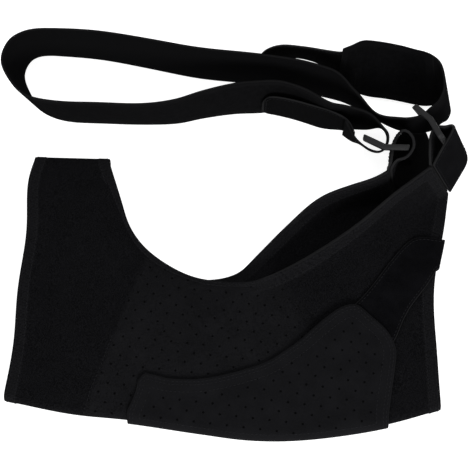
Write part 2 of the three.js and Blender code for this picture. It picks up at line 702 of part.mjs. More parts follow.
// The long run to the left and back: along is a share of RUN_LENGTH, measured to the left.
const LONG_RUN = [
  { along: 0.07, away: -0.185, leanX: 0, leanY: 0, clear: 0 },
  { along: 0.137, away: -0.204, leanX: 0, leanY: 0.03, clear: 0 },
  { along: 0.222, away: -0.235, leanX: 0, leanY: 0, clear: 0 },
  { along: 0.343, away: -0.37, leanX: 0, leanY: -0.07, clear: 0 },
  { along: 0.42, away: -0.49, leanX: 0, leanY: -0.12, clear: 0 },
  { along: 0.533, away: -0.545, leanX: 0, leanY: -0.18, clear: 0 },
  { along: 0.689, away: -0.52, leanX: 0, leanY: -0.18, clear: 0 },
  { along: 0.828, away: -0.48, leanX: 0, leanY: -0.2, clear: 0 },
  { along: 0.925, away: -0.3, leanX: -0.08, leanY: -0.28, clear: 0 },
  { along: 0.975, away: 0.02, leanX: -0.15, leanY: -0.3, clear: 0 },
  { along: 1.008, away: 0.42, leanX: -0.2, leanY: -0.27, clear: 0 },
  { along: 0.989, away: 0.76, leanX: -0.19, leanY: -0.2, clear: 0 },
  { along: 0.957, away: 0.89, leanX: -0.15, leanY: -0.16, clear: 0 },
  { along: 0.913, away: 0.944, leanX: -0.1, leanY: -0.12, clear: 0 },
  { along: 0.846, away: 0.939, leanX: 0, leanY: -0.1, clear: 0 },
  { along: 0.704, away: 0.878, leanX: 0, leanY: -0.07, clear: 0 },
  { along: 0.524, away: 0.694, leanX: 0, leanY: -0.04, clear: 0 },
  { along: 0.346, away: 0.496, leanX: 0, leanY: -0.02, clear: 0 },
  { along: 0.144, away: 0.376, leanX: 0, leanY: -0.02, clear: 0 },
];
const RUN_START = { along: -1.11, away: 1.14 };

// How far a ruling in a slot slides along the bars towards the slot's middle, as a share
const SLOT_SLIDE = 0.4;

// A ribbon station from a row, measured from a place; a row without tips lies in a slot.
function station(row, frame, from, alongSize, width) {
  const across = rowAcross(row, frame);
  const centre = from.clone();
  centre.x += row.along * alongSize;
  centre.y += row.away * STRAP_WIDTH;
  if (row.leanX === undefined) {
    const aside = row.along * alongSize * across.x + row.away * STRAP_WIDTH * across.y;
    centre.z -= (SLOT_SLIDE * aside) / across.z;
  } else {
    centre.z = GAP + row.clear * STRAP_WIDTH + (width / 2) * across.z;
  }
  return { centre, across, width };
}

function strapGeometry() {
  const runFrom = backRing.strapBar.clone();
  runFrom.x += RUN_START.along * STRAP_WIDTH;
  runFrom.y += RUN_START.away * STRAP_WIDTH;
  const stations = [
    ...NEAR_LOOP.map((row) => station(row, backRing, backRing.strapBar, STRAP_WIDTH, STRAP_WIDTH)),
    ...LONG_RUN.map((row) => station(row, backRing, runFrom, -RUN_LENGTH, STRAP_WIDTH)),
    ...FAR_LOOP.map((row) => station(row, frontRing, frontRing.strapBar, STRAP_WIDTH, STRAP_WIDTH)),
  ];
  return ribbonGeometry(stations, STRAP_THICKNESS, 3);
}

// Hook tabs sewn on the strap's two ends, each drawn in to a rounded tip by its last rows.
const NEAR_HOOK_TAB = [
  { along: -0.185, away: 0.115, leanX: -0.1, leanY: -0.38, clear: 0.28, share: 1 },
  { along: -0.3, away: 0.337, leanX: -0.05, leanY: -0.26, clear: 0.22, share: 1 },
  { along: -0.543, away: 0.47, leanX: 0, leanY: -0.1, clear: 0.14, share: 1 },
  { along: -0.728, away: 0.56, leanX: 0, leanY: -0.04, clear: 0.08, share: 1 },
  { along: -1.07, away: 0.702, leanX: 0, leanY: -0.06, clear: 0.05, share: 1 },
  { along: -1.385, away: 0.8, leanX: 0, leanY: -0.06, clear: 0.05, share: 0.97 },
  { along: -1.644, away: 0.85, leanX: 0, leanY: -0.04, clear: 0.08, share: 0.84 },
  { along: -1.755, away: 0.86, leanX: 0, leanY: -0.02, clear: 0.16, share: 0.45 },
];
const FAR_HOOK_TAB = [
  { along: -1.2, away: 1.081, leanX: 0.04, leanY: 0.24, clear: 0.2, share: 1 },
  { along: -1.37, away: 1.08, leanX: 0, leanY: 0.04, clear: 0.2, share: 1 },
  { along: -1.56, away: 1.16, leanX: 0, leanY: -0.12, clear: 0.2, share: 1 },
  { along: -1.74, away: 1.25, leanX: 0, leanY: -0.25, clear: 0.2, share: 1 },
  { along: -2.11, away: 1.34, leanX: 0, leanY: -0.3, clear: 0.2, share: 1 },
  { along: -2.44, away: 1.33, leanX: 0, leanY: -0.22, clear: 0.21, share: 0.97 },
  { along: -2.7, away: 1.21, leanX: 0, leanY: -0.12, clear: 0.25, share: 0.84 },
  { along: -2.83, away: 1.1, leanX: 0, leanY: -0.02, clear: 0.36, share: 0.45 },
];

function hookTabGeometry(rows, frame) {
  const stations = rows.map((row) =>
    station(row, frame, frame.strapBar, STRAP_WIDTH, row.share * HOOK_TAB_WIDTH));
  return ribbonGeometry(stations, HOOK_TAB_THICKNESS, 3);
}

const brace = new THREE.Group();

// Adds a named mesh to the brace.
function addPiece(name, geometry, material) {
  const mesh = new THREE.Mesh(geometry, material);
  mesh.name = name;
  brace.add(mesh);
}

addPiece("body_panel", bodyGeometry(), MATERIALS.neoprene);
addPiece("cuff_panel", cuffGeometry(), MATERIALS.cuff);
addPiece("closing_band", bandGeometry(), MATERIALS.plush);
addPiece("front_ring_tab", tabGeometry(frontEnd, frontRing, FRONT_TAB_LOOP), MATERIALS.plush);
addPiece("back_ring_tab", tabGeometry(backEnd, backRing, BACK_TAB_LOOP), MATERIALS.plush);
addPiece("front_ring", ringGeometry(frontRing), MATERIALS.plastic);
addPiece("back_ring", ringGeometry(backRing), MATERIALS.plastic);
addPiece("strap", strapGeometry(), MATERIALS.webbing);
addPiece("near_hook_tab", hookTabGeometry(NEAR_HOOK_TAB, backRing), MATERIALS.hook);
addPiece("far_hook_tab", hookTabGeometry(FAR_HOOK_TAB, frontRing), MATERIALS.hook);

const box = new THREE.Box3().setFromObject(brace);
brace.position.set(-(box.min.x + box.max.x) / 2, -(box.min.y + box.max.y) / 2, -box.min.z);

export default brace;
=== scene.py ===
"""A single-shoulder brace of perforated neoprene: its cloth, webbing, rings, stitching and stage.

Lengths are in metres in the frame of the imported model, unless a name ends in _mm.
"""

import heapq
import math

import bmesh
import bpy
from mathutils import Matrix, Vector
from mathutils.kdtree import KDTree


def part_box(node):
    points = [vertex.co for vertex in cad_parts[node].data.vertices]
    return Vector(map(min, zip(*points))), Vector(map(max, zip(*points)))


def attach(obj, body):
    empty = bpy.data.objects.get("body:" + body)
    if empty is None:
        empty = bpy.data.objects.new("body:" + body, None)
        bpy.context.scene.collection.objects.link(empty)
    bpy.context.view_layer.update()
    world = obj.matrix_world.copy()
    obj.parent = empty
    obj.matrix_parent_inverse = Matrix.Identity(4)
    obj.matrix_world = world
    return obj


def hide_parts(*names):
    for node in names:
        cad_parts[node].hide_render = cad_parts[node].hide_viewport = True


bl_info = {
    "name": "Shoulder brace",
    "version": (1, 0, 0),
    "blender": (4, 5, 0),
    "location": "View3D > Sidebar > Brace",
    "description": "Dresses the frame of a neoprene shoulder brace",
    "category": "Object",
}

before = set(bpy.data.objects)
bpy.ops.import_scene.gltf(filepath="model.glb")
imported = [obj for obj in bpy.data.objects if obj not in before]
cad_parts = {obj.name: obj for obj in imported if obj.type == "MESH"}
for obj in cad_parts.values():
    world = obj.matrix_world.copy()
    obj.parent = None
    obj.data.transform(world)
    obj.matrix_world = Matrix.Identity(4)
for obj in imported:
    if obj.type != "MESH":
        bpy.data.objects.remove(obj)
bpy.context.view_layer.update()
BODY = "root"
MM = 0.001

# Names of the attributes and of the map that the materials read
RIM = "rim"
OUTER = "outer"
EDGE = "edge_mm"
LEFT_MARK = "left_zone"
RIGHT_MARK = "right_zone"
CLOTH_MAP = "cloth"

# A sheet's rim: its edges are sharper than this, beside faces no wider than its thickness
SHARP = math.radians(50)
THICKEST = 3.4 * MM
ON_RIM = 0.999
BODY_SOFTNESS = 0.75
RIM_SOFTNESS = 0.8

# A walk along the surface that is longer than this leads to the rim of another layer
WALK_SHARE = 1.5
WALK_SLACK = 4 * MM

# A ribbon's edges that are longer than this share of its longest one run across it
CROSS_SHARE = 0.62

# Radii of the folds that the maps unroll
BODY_FOLD = 5 * MM
CUFF_FOLD = 7 * MM

# Heights above the floor: of what clears it, and of the front panel's outer side
OFF_FLOOR = 1 * MM
FRONT_HEIGHT = 8 * MM

RING_ROUNDING = 0.5 * MM

# Flat sizes of the sheets before they are sewn, as width and length
FLAT = {
    "body": (0.368, 0.52),
    "cuff": (0.235, 0.135),
    "band": (0.07, 0.11),
    "tab": (0.048, 0.098),
    "strap": (0.05, 0.965),
    "hook": (0.035, 0.084),
}

# Distances of the stitch rows from the sheet's edge, in millimetres
OUTER_ROW = 2.2
NARROW_ROW = 2.0
SECOND_CUFF_ROW = 4.4
HEM_ROW_INSIDE = 1.2
SEAM_ROW = -1.5

# One stitch's rings: share along it, girth and lift as shares of the thread's radius
STITCH_RINGS = ((-0.5, 0.35, -0.6), (-0.25, 0.95, 0.2), (0.25, 0.95, 0.2), (0.5, 0.35, -0.6))
STITCH_SIDES = 6

# The two steps of the perforation lattice, across and up
HOLE_STEP = (12.9 * MM, -1.5 * MM)
HOLE_ROW_STEP = (5.6 * MM, -8.4 * MM)

# A perforation is dark inside the first share of its radius and gone outside the second
HOLE_DARK = 0.7
HOLE_GONE = 1.25

# Starts and ends of the masks made from noise
PATCHES = (0.3, 0.75)
SPECKS = (0.42, 0.62)
PITS = (0.5, 0.35)

# Noise scales, in waves for each metre
PILE_SCALE = 1100.0
GRAIN_SCALE = 1200.0
TWIST_SCALE = 3500.0
SCUFF_SCALE = 420.0
WEBBING_WEAR_SCALE = 300.0
HOOK_WEAR_SCALE = 260.0
CLOTH_MOTTLE_SCALE = 45.0
BROAD_SCALE = 60.0
PLUSH_MOTTLE_SCALE = 70.0

# Weaves: radians for each metre of the knit, and spacings of the other threads
KNIT_ALONG = 5200.0
KNIT_UP = 4400.0
HEM_CROSS = 2600.0
HEM_PITCH_MM = 1.7
PICK = 0.9 * MM
RIB = 1.6 * MM
HOOK_PITCH = 1.1 * MM
HOOK_ROW_PITCH = 1.3 * MM

# Borders of the perforated zone: rows are (share up the body's box, share along it)
LEFT_ZONE = (
    (0.05, 0.175), (0.13, 0.19), (0.2, 0.21), (0.3, 0.235), (0.4, 0.26), (0.5, 0.29), (0.6, 0.305))
RIGHT_ZONE = ((0.15, 0.68), (0.3, 0.66), (0.4, 0.62), (0.5, 0.58), (0.6, 0.565))
LEFT_FADE_MM = 2.5
RIGHT_FADE_MM = 9.0
SEAM_SHARE = 0.3

# Stage
FLOOR_SIZE = 40.0
FLOOR_GLOW = 0.9
PAPER_SCALE = 3.0
WORLD_STRENGTH = 0.55
LAMPS = (
    {"name": "key", "place": (0.25, -1.2, 0.7), "size": 0.5, "power": 17.0},
    {"name": "fill", "place": (-0.5, 0.4, 1.3), "size": 1.0, "power": 6.0},
)
CAMERA_AIM = Vector((0.18279, 0.16968, 0.014))
CAMERA_DISTANCE = 0.886
CAMERA_RISE = math.radians(66)
CAMERA_LENS = 80.9


class BraceSizes(bpy.types.PropertyGroup):
    """Sizes of the brace's details."""

    hem: bpy.props.FloatProperty(
        name="Hem", description="Width of the turned hems", default=10 * MM, unit="LENGTH")
    hem_rise: bpy.props.FloatProperty(
        name="Hem rise", description="Extra thickness of a hem", default=0.35 * MM, unit="LENGTH")
    stitch: bpy.props.FloatProperty(
        name="Stitch", description="Length of one stitch", default=2.5 * MM, unit="LENGTH")
    stitch_gap: bpy.props.FloatProperty(
        name="Stitch gap", description="Space between stitches", default=0.9 * MM, unit="LENGTH")
    thread: bpy.props.FloatProperty(
        name="Thread", description="Radius of the sewing thread", default=0.3 * MM, unit="LENGTH")
    hole: bpy.props.FloatProperty(
        name="Hole", description="Radius of a perforation", default=0.85 * MM, unit="LENGTH")
    # Width of the edge bands that are painted lighter, a painted highlight as well as a selvedge
    lit_selvedge: bpy.props.FloatProperty(
        name="Selvedge", description="Width of the webbing's edge band", default=5 * MM,
        unit="LENGTH")


class BraceColours(bpy.types.PropertyGroup):
    """Colours of the brace's materials."""

    neoprene: bpy.props.FloatVectorProperty(
        name="Neoprene", description="Perforated knit face", subtype="COLOR",
        default=(0.0051, 0.0051, 0.0057))
    plush: bpy.props.FloatVectorProperty(
        name="Plush", description="Looped plush zones", subtype="COLOR",
        default=(0.0022, 0.0022, 0.0026))
    cuff: bpy.props.FloatVectorProperty(
        name="Cuff", description="Perforated cuff laminate", subtype="COLOR",
        default=(0.0047, 0.0047, 0.0053))
    webbing: bpy.props.FloatVectorProperty(
        name="Webbing", description="Woven strap", subtype="COLOR",
        default=(0.0035, 0.0035, 0.0038))
    hook: bpy.props.FloatVectorProperty(
        name="Hook tape", description="Hook tabs on the strap's ends", subtype="COLOR",
        default=(0.0037, 0.0037, 0.0039))
    thread: bpy.props.FloatVectorProperty(
        name="Thread", description="Sewing thread", subtype="COLOR",
        default=(0.015, 0.015, 0.0165))
    cut_edge: bpy.props.FloatVectorProperty(
        name="Cut edge", description="Bare foam and cut cloth edges", subtype="COLOR",
        default=(0.014, 0.014, 0.0145))
    plastic: bpy.props.FloatVectorProperty(
        name="Plastic", description="Moulded ring buckles", subtype="COLOR",
        default=(0.013, 0.013, 0.0135))


class Wire:
    """A shader socket that can be used in Python expressions."""

    def __init__(self, finish, socket):
        self.finish = finish
        self.socket = socket

    def _with(self, operation, *values):
        return self.finish.node("ShaderNodeMath", {"operation": operation}, *values)

    def __add__(self, other):
        return self._with("ADD", self, other)

    def __sub__(self, other):
        return self._with("SUBTRACT", self, other)

    def __rsub__(self, other):
        return self._with("SUBTRACT", other, self)

    def __mul__(self, other):
        return self._with("MULTIPLY", self, other)

    __radd__ = __add__
    __rmul__ = __mul__

    def sine(self):
        return self._with("SINE", self)

    def wave(self, period):
        """A sine wave with this period."""
        return (self * (math.tau / period)).sine()

    def root(self):
        return self._with("SQRT", self)

    def rounded(self):
        return self._with("ROUND", self)

    def larger(self, other):
        return self._with("MAXIMUM", self, other)

    def step(self, start, end):
        """0 at start and 1 at end, smooth between them; start may be the larger one."""
        settings = {"interpolation_type": "SMOOTHSTEP"}
        if start < end:
            return self.finish.node("ShaderNodeMapRange", settings, self, start, end, 0.0, 1.0)
        return self.finish.node("ShaderNodeMapRange", settings, self, end, start, 1.0, 0.0)


class Finish:
    """A procedural material under construction."""

    def __init__(self, name, roughness, specular, sheen=0.0):
        self.material = bpy.data.materials.new(name)
        self.material.use_nodes = True
        self.nodes = self.material.node_tree.nodes
        self.links = self.material.node_tree.links
        self.shader = self.nodes["Principled BSDF"]
        self.shader.inputs["Roughness"].default_value = roughness
        self.shader.inputs["Specular IOR Level"].default_value = specular
        self.shader.inputs["Sheen Weight"].default_value = sheen
        self.shader.inputs["Sheen Roughness"].default_value = 0.6

    def node(self, kind, settings, *values, output=0, **named):
        """Adds a node: its settings first, then the values or links of its sockets."""
        made = self.nodes.new(kind)
        for key, value in settings.items():
            setattr(made, key, value)
        for key, value in [*enumerate(values), *named.items()]:
            socket = made.inputs[key.replace("_", " ") if isinstance(key, str) else key]
            self.put(socket, value)
        return Wire(self, made.outputs[output])

    def put(self, socket, value):
        if isinstance(value, Wire):
            self.links.new(value.socket, socket)
        else:
            socket.default_value = value

    def coordinates(self):
        """A point of the piece, and its three coordinates in metres."""
        where = self.node("ShaderNodeTexCoord", {}, output="Object")
        return where, [self.node("ShaderNodeSeparateXYZ", {}, where, output=i) for i in range(3)]

    def flat(self):
        """Along and across on the piece's own map, in metres."""
        where = self.node("ShaderNodeUVMap", {"uv_map": CLOTH_MAP})
        return [self.node("ShaderNodeSeparateXYZ", {}, where, output=i) for i in range(2)]

    def attribute(self, name):
        return self.node("ShaderNodeAttribute", {"attribute_name": name}, output="Fac")

    def noise(self, where, scale, detail=2.0, rough=0.5):
        return self.node("ShaderNodeTexNoise", {}, Vector=where, Scale=scale, Detail=detail,
                         Roughness=rough)

    def mix(self, factor, first, second):
        """A colour between two colours."""
        settings = {"data_type": "RGBA"}
        made = self.node("ShaderNodeMix", settings, output=2)
        node = made.socket.node
        for index, value in ((0, factor), (6, first), (7, second)):
            if isinstance(value, (tuple, list)) or hasattr(value, "r"):
                value = (*value[:3], 1.0)
            self.put(node.inputs[index], value)
        return made

    def varied(self, mask, colour, first, second):
        """One colour, times the first factor where the mask is 0 and the second where it is 1."""
        return self.mix(mask, shaded(colour, first), shaded(colour, second))

    def relief(self, height, depth):
        """Feeds a height into the normal; depth is in metres."""
        bump = self.node("ShaderNodeBump", {}, Height=height, Distance=depth, Strength=1.0)
        self.put(self.shader.inputs["Normal"], bump)

    def paint(self, colour):
        self.put(self.shader.inputs["Base Color"], colour)
        return self.material


def shaded(colour, factor):
    """A colour made lighter or darker."""
    return tuple(min(1.0, channel * factor) for channel in colour[:3])


def chosen_sizes():
    return bpy.context.scene.brace_sizes


def chosen_colours():
    return bpy.context.scene.brace_colours


def lattice(across, up, hole):
    """Mask of round perforations on a slanted lattice; across and up are in metres."""
    first, second = HOLE_STEP, HOLE_ROW_STEP
    area = first[0] * second[1] - first[1] * second[0]
    s = across * (second[1] / area) - up * (second[0] / area)
    t = up * (first[0] / area) - across * (first[1] / area)
    s_off = s - s.rounded()
    t_off = t - t.rounded()
    x = s_off * first[0] + t_off * second[0]
    y = s_off * first[1] + t_off * second[1]
    distance = (x * x + y * y).root()
    return distance.step(hole * HOLE_GONE, hole * HOLE_DARK)


def neoprene_finish():
    """Perforated knit face with plush zones beside it and hems round it."""
    sizes, shades = chosen_sizes(), chosen_colours()
    finish = Finish("perforated_neoprene", roughness=0.9, specular=0.01, sheen=0.006)
    where, (x, y, _) = finish.coordinates()
    along, up = finish.flat()
    edge = finish.attribute(EDGE)
    hem = edge.step(sizes.hem / MM + 0.5, sizes.hem / MM - 0.5)
    left_zone, right_zone = finish.attribute(LEFT_MARK), finish.attribute(RIGHT_MARK)
    left_plush = left_zone.step(LEFT_FADE_MM, -LEFT_FADE_MM)
    plush = left_plush.larger(right_zone.step(RIGHT_FADE_MM, -RIGHT_FADE_MM))
    open_knit = (1 - plush) * (1 - hem)
    holes = lattice(along, up, sizes.hole) * (open_knit * 0.85 + 0.15)
    fuzz = finish.noise(where, PILE_SCALE, detail=4.0, rough=0.75)
    mottle = finish.noise(where, CLOTH_MOTTLE_SCALE, detail=3.0, rough=0.55).step(*PATCHES)
    knit = (along * KNIT_ALONG).sine() * (up * KNIT_UP).sine()
    cut = edge.step(0.25, 0.0)
    base = finish.varied(mottle, shades.neoprene, 0.85, 1.25)
    pile = finish.varied(mottle, shades.plush, 0.8, 1.3)
    base = finish.mix(plush, base, pile)
    weave = edge.wave(HEM_PITCH_MM) * (x * HEM_CROSS).sine() * (y * HEM_CROSS).sine()
    base = finish.mix(hem * 0.6, base, shaded(shades.neoprene, 1.05))
    base = finish.mix(hem * weave.step(0.1, 0.6) * 0.5, base, shades.thread)
    base = finish.mix(fuzz.step(*SPECKS) * 0.5, base, shaded(shades.neoprene, 2.0))
    base = finish.mix(fuzz.step(*PITS) * 0.7, base, shaded(shades.plush, 0.4))
    base = finish.mix(holes, base, shaded(shades.neoprene, 0.25))
    base = finish.mix(cut * 0.7, base, shades.cut_edge)
    height = fuzz * (plush * 0.6 + 0.4) + knit * open_knit * 0.25 - holes * 1.6
    finish.relief(height, depth=0.5 * MM)
    return finish.paint(base)


def cuff_finish():
    """Smooth perforated laminate with a stitched edge strip."""
    sizes, shades = chosen_sizes(), chosen_colours()
    finish = Finish("perforated_laminate", roughness=0.85, specular=0.01, sheen=0.006)
    where, _ = finish.coordinates()
    along, up = finish.flat()
    edge = finish.attribute(EDGE)
    strip = edge.step(sizes.hem / MM + 0.6, sizes.hem / MM - 0.6)
    holes = lattice(along, up, sizes.hole) * (1 - strip)
    mottle = finish.noise(where, BROAD_SCALE, detail=3.0, rough=0.55).step(*PATCHES)
    grain = finish.noise(where, GRAIN_SCALE, detail=4.0, rough=0.7)
    cut = edge.step(0.3, 0.0)
    base = finish.varied(mottle, shades.cuff, 0.85, 1.2)
    base = finish.mix(strip * 0.35, base, shaded(shades.cuff, 1.25))
    base = finish.mix(grain.step(*SPECKS) * 0.35, base, shaded(shades.cuff, 1.8))
    base = finish.mix(holes, base, shaded(shades.cuff, 0.28))
    base = finish.mix(cut * 0.7, base, shades.cut_edge)
    finish.relief(grain * 0.3 - holes * 1.6, depth=0.5 * MM)
    return finish.paint(base)


def plush_finish():
    """Short looped plush with pale cut edges."""
    shades = chosen_colours()
    finish = Finish("looped_plush", roughness=1.0, specular=0.003, sheen=0.005)
    where, _ = finish.coordinates()
    edge = finish.attribute(EDGE)
    fuzz = finish.noise(where, PILE_SCALE, detail=4.0, rough=0.75)
    mottle = finish.noise(where, PLUSH_MOTTLE_SCALE, detail=3.0, rough=0.6).step(*PATCHES)
    cut = edge.step(0.5, 0.0)
    base = finish.varied(mottle, shades.plush, 0.8, 1.5)
    base = finish.mix(fuzz.step(*SPECKS) * 0.4, base, shaded(shades.plush, 2.0))
    base = finish.mix(cut, base, shades.cut_edge)
    finish.relief(fuzz, depth=0.45 * MM)
    return finish.paint(base)


def webbing_finish():
    """Ribbed elastic webbing with a band along each edge painted lighter: partly a denser
    selvedge, partly a painted highlight of the lit edge.
    """
    sizes, shades = chosen_sizes(), chosen_colours()
    finish = Finish("ribbed_webbing", roughness=0.85, specular=0.0, sheen=0.003)
    where, _ = finish.coordinates()
    along, across = finish.flat()
    edge = finish.attribute(EDGE)
    band = edge.step(sizes.lit_selvedge / MM + 0.3, sizes.lit_selvedge / MM - 0.3)
    picks = along.wave(PICK)
    ribs = across.wave(RIB)
    wear = finish.noise(where, WEBBING_WEAR_SCALE, detail=3.0, rough=0.6)
    rim = edge.step(0.4, 0.0)
    base = finish.varied(wear.step(0.3, 0.8), shades.webbing, 0.85, 1.35)
    # Both edge bands are painted lighter: a painted highlight where the strap's upper edge catches
    # the light, as well as a denser selvedge.
    base = finish.mix(band * 0.6, base, shaded(shades.webbing, 1.6))
    # The side with outer mark 0, the loop's inner side, is painted lighter: painted light that
    # lifts the shade inside the loop.
    base = finish.mix(finish.attribute(OUTER), shaded(shades.webbing, 1.3), base)
    base = finish.mix(rim * 0.8, base, shaded(shades.cut_edge, 0.6))
    base = finish.mix(ribs.step(0.55, 1.0) * 0.35, base, shaded(shades.webbing, 0.5))
    finish.relief(picks * 0.35 + ribs * 0.4 + wear * 0.2, depth=0.22 * MM)
    return finish.paint(base)


def hook_finish():
    """Hook tape: a fine grid of hooks on a woven ground."""
    shades = chosen_colours()
    finish = Finish("hook_tape", roughness=0.8, specular=0.001)
    where, _ = finish.coordinates()
    along, across = finish.flat()
    edge = finish.attribute(EDGE)
    hooks = along.wave(HOOK_PITCH) * across.wave(HOOK_ROW_PITCH)
    wear = finish.noise(where, HOOK_WEAR_SCALE, detail=3.0, rough=0.6)
    base = finish.varied(hooks.step(0.1, 0.9) * 0.6, shades.hook, 1.0, 2.0)
    base = finish.mix(wear.step(0.45, 0.8) * 0.4, base, shaded(shades.hook, 0.6))
    base = finish.mix(edge.step(0.5, 0.0), base, shades.cut_edge)
    finish.relief(hooks * 0.6 + wear * 0.2, depth=0.4 * MM)
    return finish.paint(base)


def plastic_finish():
    """Satin moulded plastic with slight scuffing."""
    shades = chosen_colours()
    finish = Finish("moulded_plastic", roughness=0.5, specular=0.1)
    where, _ = finish.coordinates()
    scuff = finish.noise(where, SCUFF_SCALE, detail=4.0, rough=0.6)
    broad = finish.noise(where, BROAD_SCALE)
    base = finish.varied(scuff.step(0.55, 0.8) * 0.5, shades.plastic, 1.0, 1.6)
    finish.put(finish.shader.inputs["Roughness"], broad * 0.2 + 0.36)
    finish.relief(scuff, depth=0.06 * MM)
    return finish.paint(base)


def thread_finish():
    """Twisted polyester thread."""
    shades = chosen_colours()
    finish = Finish("sewing_thread", roughness=0.8, specular=0.01)
    where, _ = finish.coordinates()
    twist = finish.noise(where, TWIST_SCALE)
    base = finish.varied(twist.step(0.3, 0.7), shades.thread, 1.0, 0.5)
    return finish.paint(base)


def deselect():
    bpy.ops.object.select_all(action="DESELECT")


def cut_to_quads(node, name):
    """A welded copy of a node, its triangles joined in pairs."""
    piece = bpy.data.objects.new(name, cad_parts[node].data.copy())
    bpy.context.scene.collection.objects.link(piece)
    piece.data.materials.clear()
    mesh = bmesh.new()
    mesh.from_mesh(piece.data)
    bmesh.ops.remove_doubles(mesh, verts=mesh.verts, dist=0.01 * MM)
    bmesh.ops.join_triangles(mesh, faces=mesh.faces, angle_face_threshold=math.pi,
                             angle_shape_threshold=math.pi)
    mesh.to_mesh(piece.data)
    mesh.free()
    return piece


def divide_widths(piece, cuts, longer_than):
    """Cuts a ribbon's long cross edges, so that its faces are nearly square."""
    mesh = bmesh.new()
    mesh.from_mesh(piece.data)
    wide = [edge for edge in mesh.edges if edge.calc_length() > longer_than]
    bmesh.ops.subdivide_edges(mesh, edges=wide, cuts=cuts, use_grid_fill=True)
    mesh.to_mesh(piece.data)
    mesh.free()


def is_side(face):
    """True for a face of the sheet's thin side."""
    return min(edge.calc_length() for edge in face.edges) < THICKEST


def smooth(piece, levels, softness):
    """Marks the piece's rim, creases it and subdivides the piece."""
    mesh = bmesh.new()
    mesh.from_mesh(piece.data)
    crease = mesh.edges.layers.float.new("crease_edge")
    rim = mesh.verts.layers.float.new(RIM)
    for edge in mesh.edges:
        if len(edge.link_faces) == 2 and edge.calc_face_angle() > SHARP:
            edge[crease] = softness
            if any(is_side(face) for face in edge.link_faces):
                for vertex in edge.verts:
                    vertex[rim] = 1.0
    mesh.to_mesh(piece.data)
    mesh.free()
    deselect()
    bpy.context.view_layer.objects.active = piece
    piece.select_set(True)
    layer = piece.modifiers.new("smooth", "SUBSURF")
    layer.levels = layer.render_levels = levels
    bpy.ops.object.modifier_apply(modifier=layer.name)
    bpy.ops.object.shade_smooth()


def rim_marks(mesh):
    values = mesh.attributes[RIM].data
    return [value.value for value in values]


def store(mesh, name, values):
    """Keeps one number for each vertex as a named attribute."""
    attribute = mesh.attributes.new(name, "FLOAT", "POINT")
    attribute.data.foreach_set("value", values)


def edge_distances(mesh, samples=5):
    """Distance of each vertex from the sheet's rim, in millimetres."""
    marks = rim_marks(mesh)
    points = []
    for edge in mesh.edges:
        first, last = edge.vertices
        if marks[first] > ON_RIM and marks[last] > ON_RIM:
            start, end = mesh.vertices[first].co, mesh.vertices[last].co
            points.extend(start.lerp(end, step / samples) for step in range(samples))
    tree = KDTree(len(points))
    for index, point in enumerate(points):
        tree.insert(point, index)
    tree.balance()
    walks = walked(mesh, [index for index, mark in enumerate(marks) if mark > ON_RIM])
    distances = []
    for vertex, walk in zip(mesh.vertices, walks):
        straight = tree.find(vertex.co)[2]
        same_layer = walk < WALK_SHARE * straight + WALK_SLACK
        distances.append((straight if same_layer else walk) / MM)
    return distances


def walked(mesh, starts, barred=()):
    """Length of the shortest walk along the mesh's edges from the start vertices."""
    near = [[] for _ in mesh.vertices]
    for edge in mesh.edges:
        a, b = edge.vertices
        length = (mesh.vertices[a].co - mesh.vertices[b].co).length
        near[a].append((b, length))
        near[b].append((a, length))
    best = [math.inf] * len(mesh.vertices)
    queue = [(0.0, index) for index in starts]
    for _, index in queue:
        best[index] = 0.0
    heapq.heapify(queue)
    while queue:
        gone, here = heapq.heappop(queue)
        if gone > best[here]:
            continue
        for there, length in near[here]:
            total = gone + length
            if total < best[there] and there not in barred:
                best[there] = total
                heapq.heappush(queue, (total, there))
    return best


def lay_map(mesh, first, second):
    """Writes the piece's cloth map from two numbers for each vertex."""
    layer = mesh.uv_layers.new(name=CLOTH_MAP)
    for loop in mesh.loops:
        layer.data[loop.index].uv = (first[loop.vertex_index], second[loop.vertex_index])


def contour(mesh, values, level, wanted):
    """Lines on the surface where the values pass a level, as lists of (place, normal)."""
    crossings = {}
    links = {}
    for face in mesh.polygons:
        if not wanted(face):
            continue
        found = []
        count = len(face.vertices)
        for corner in range(count):
            a, b = face.vertices[corner], face.vertices[(corner + 1) % count]
            if (values[a] < level) == (values[b] < level):
                continue
            key = (min(a, b), max(a, b))
            share = (level - values[a]) / (values[b] - values[a])
            place = mesh.vertices[a].co.lerp(mesh.vertices[b].co, share)
            crossings[key] = (place, mesh.vertices[a].normal.lerp(mesh.vertices[b].normal, share))
            found.append(key)
        if len(found) == 2:
            links.setdefault(found[0], []).append(found[1])
            links.setdefault(found[1], []).append(found[0])
    lines = []
    unused = set(links)
    for start in sorted(links, key=lambda key: (len(links[key]), key)):
        if start not in unused:
            continue
        line = [start]
        unused.discard(start)
        while True:
            onward = [key for key in links[line[-1]] if key in unused]
            if not onward:
                break
            line.append(onward[0])
            unused.discard(onward[0])
        lines.append([crossings[key] for key in line])
    return lines


def resampled(line, pitch):
    """Evenly spaced (place, normal, direction) along a line."""
    spots = []
    due = pitch / 2
    gone = 0.0
    for (start, normal), (end, _) in zip(line, line[1:]):
        length = (end - start).length
        while length > 0 and gone + length >= due:
            share = (due - gone) / length
            spots.append((start.lerp(end, share), normal.normalized(), (end - start).normalized()))
            due += pitch
        gone += length
    return spots


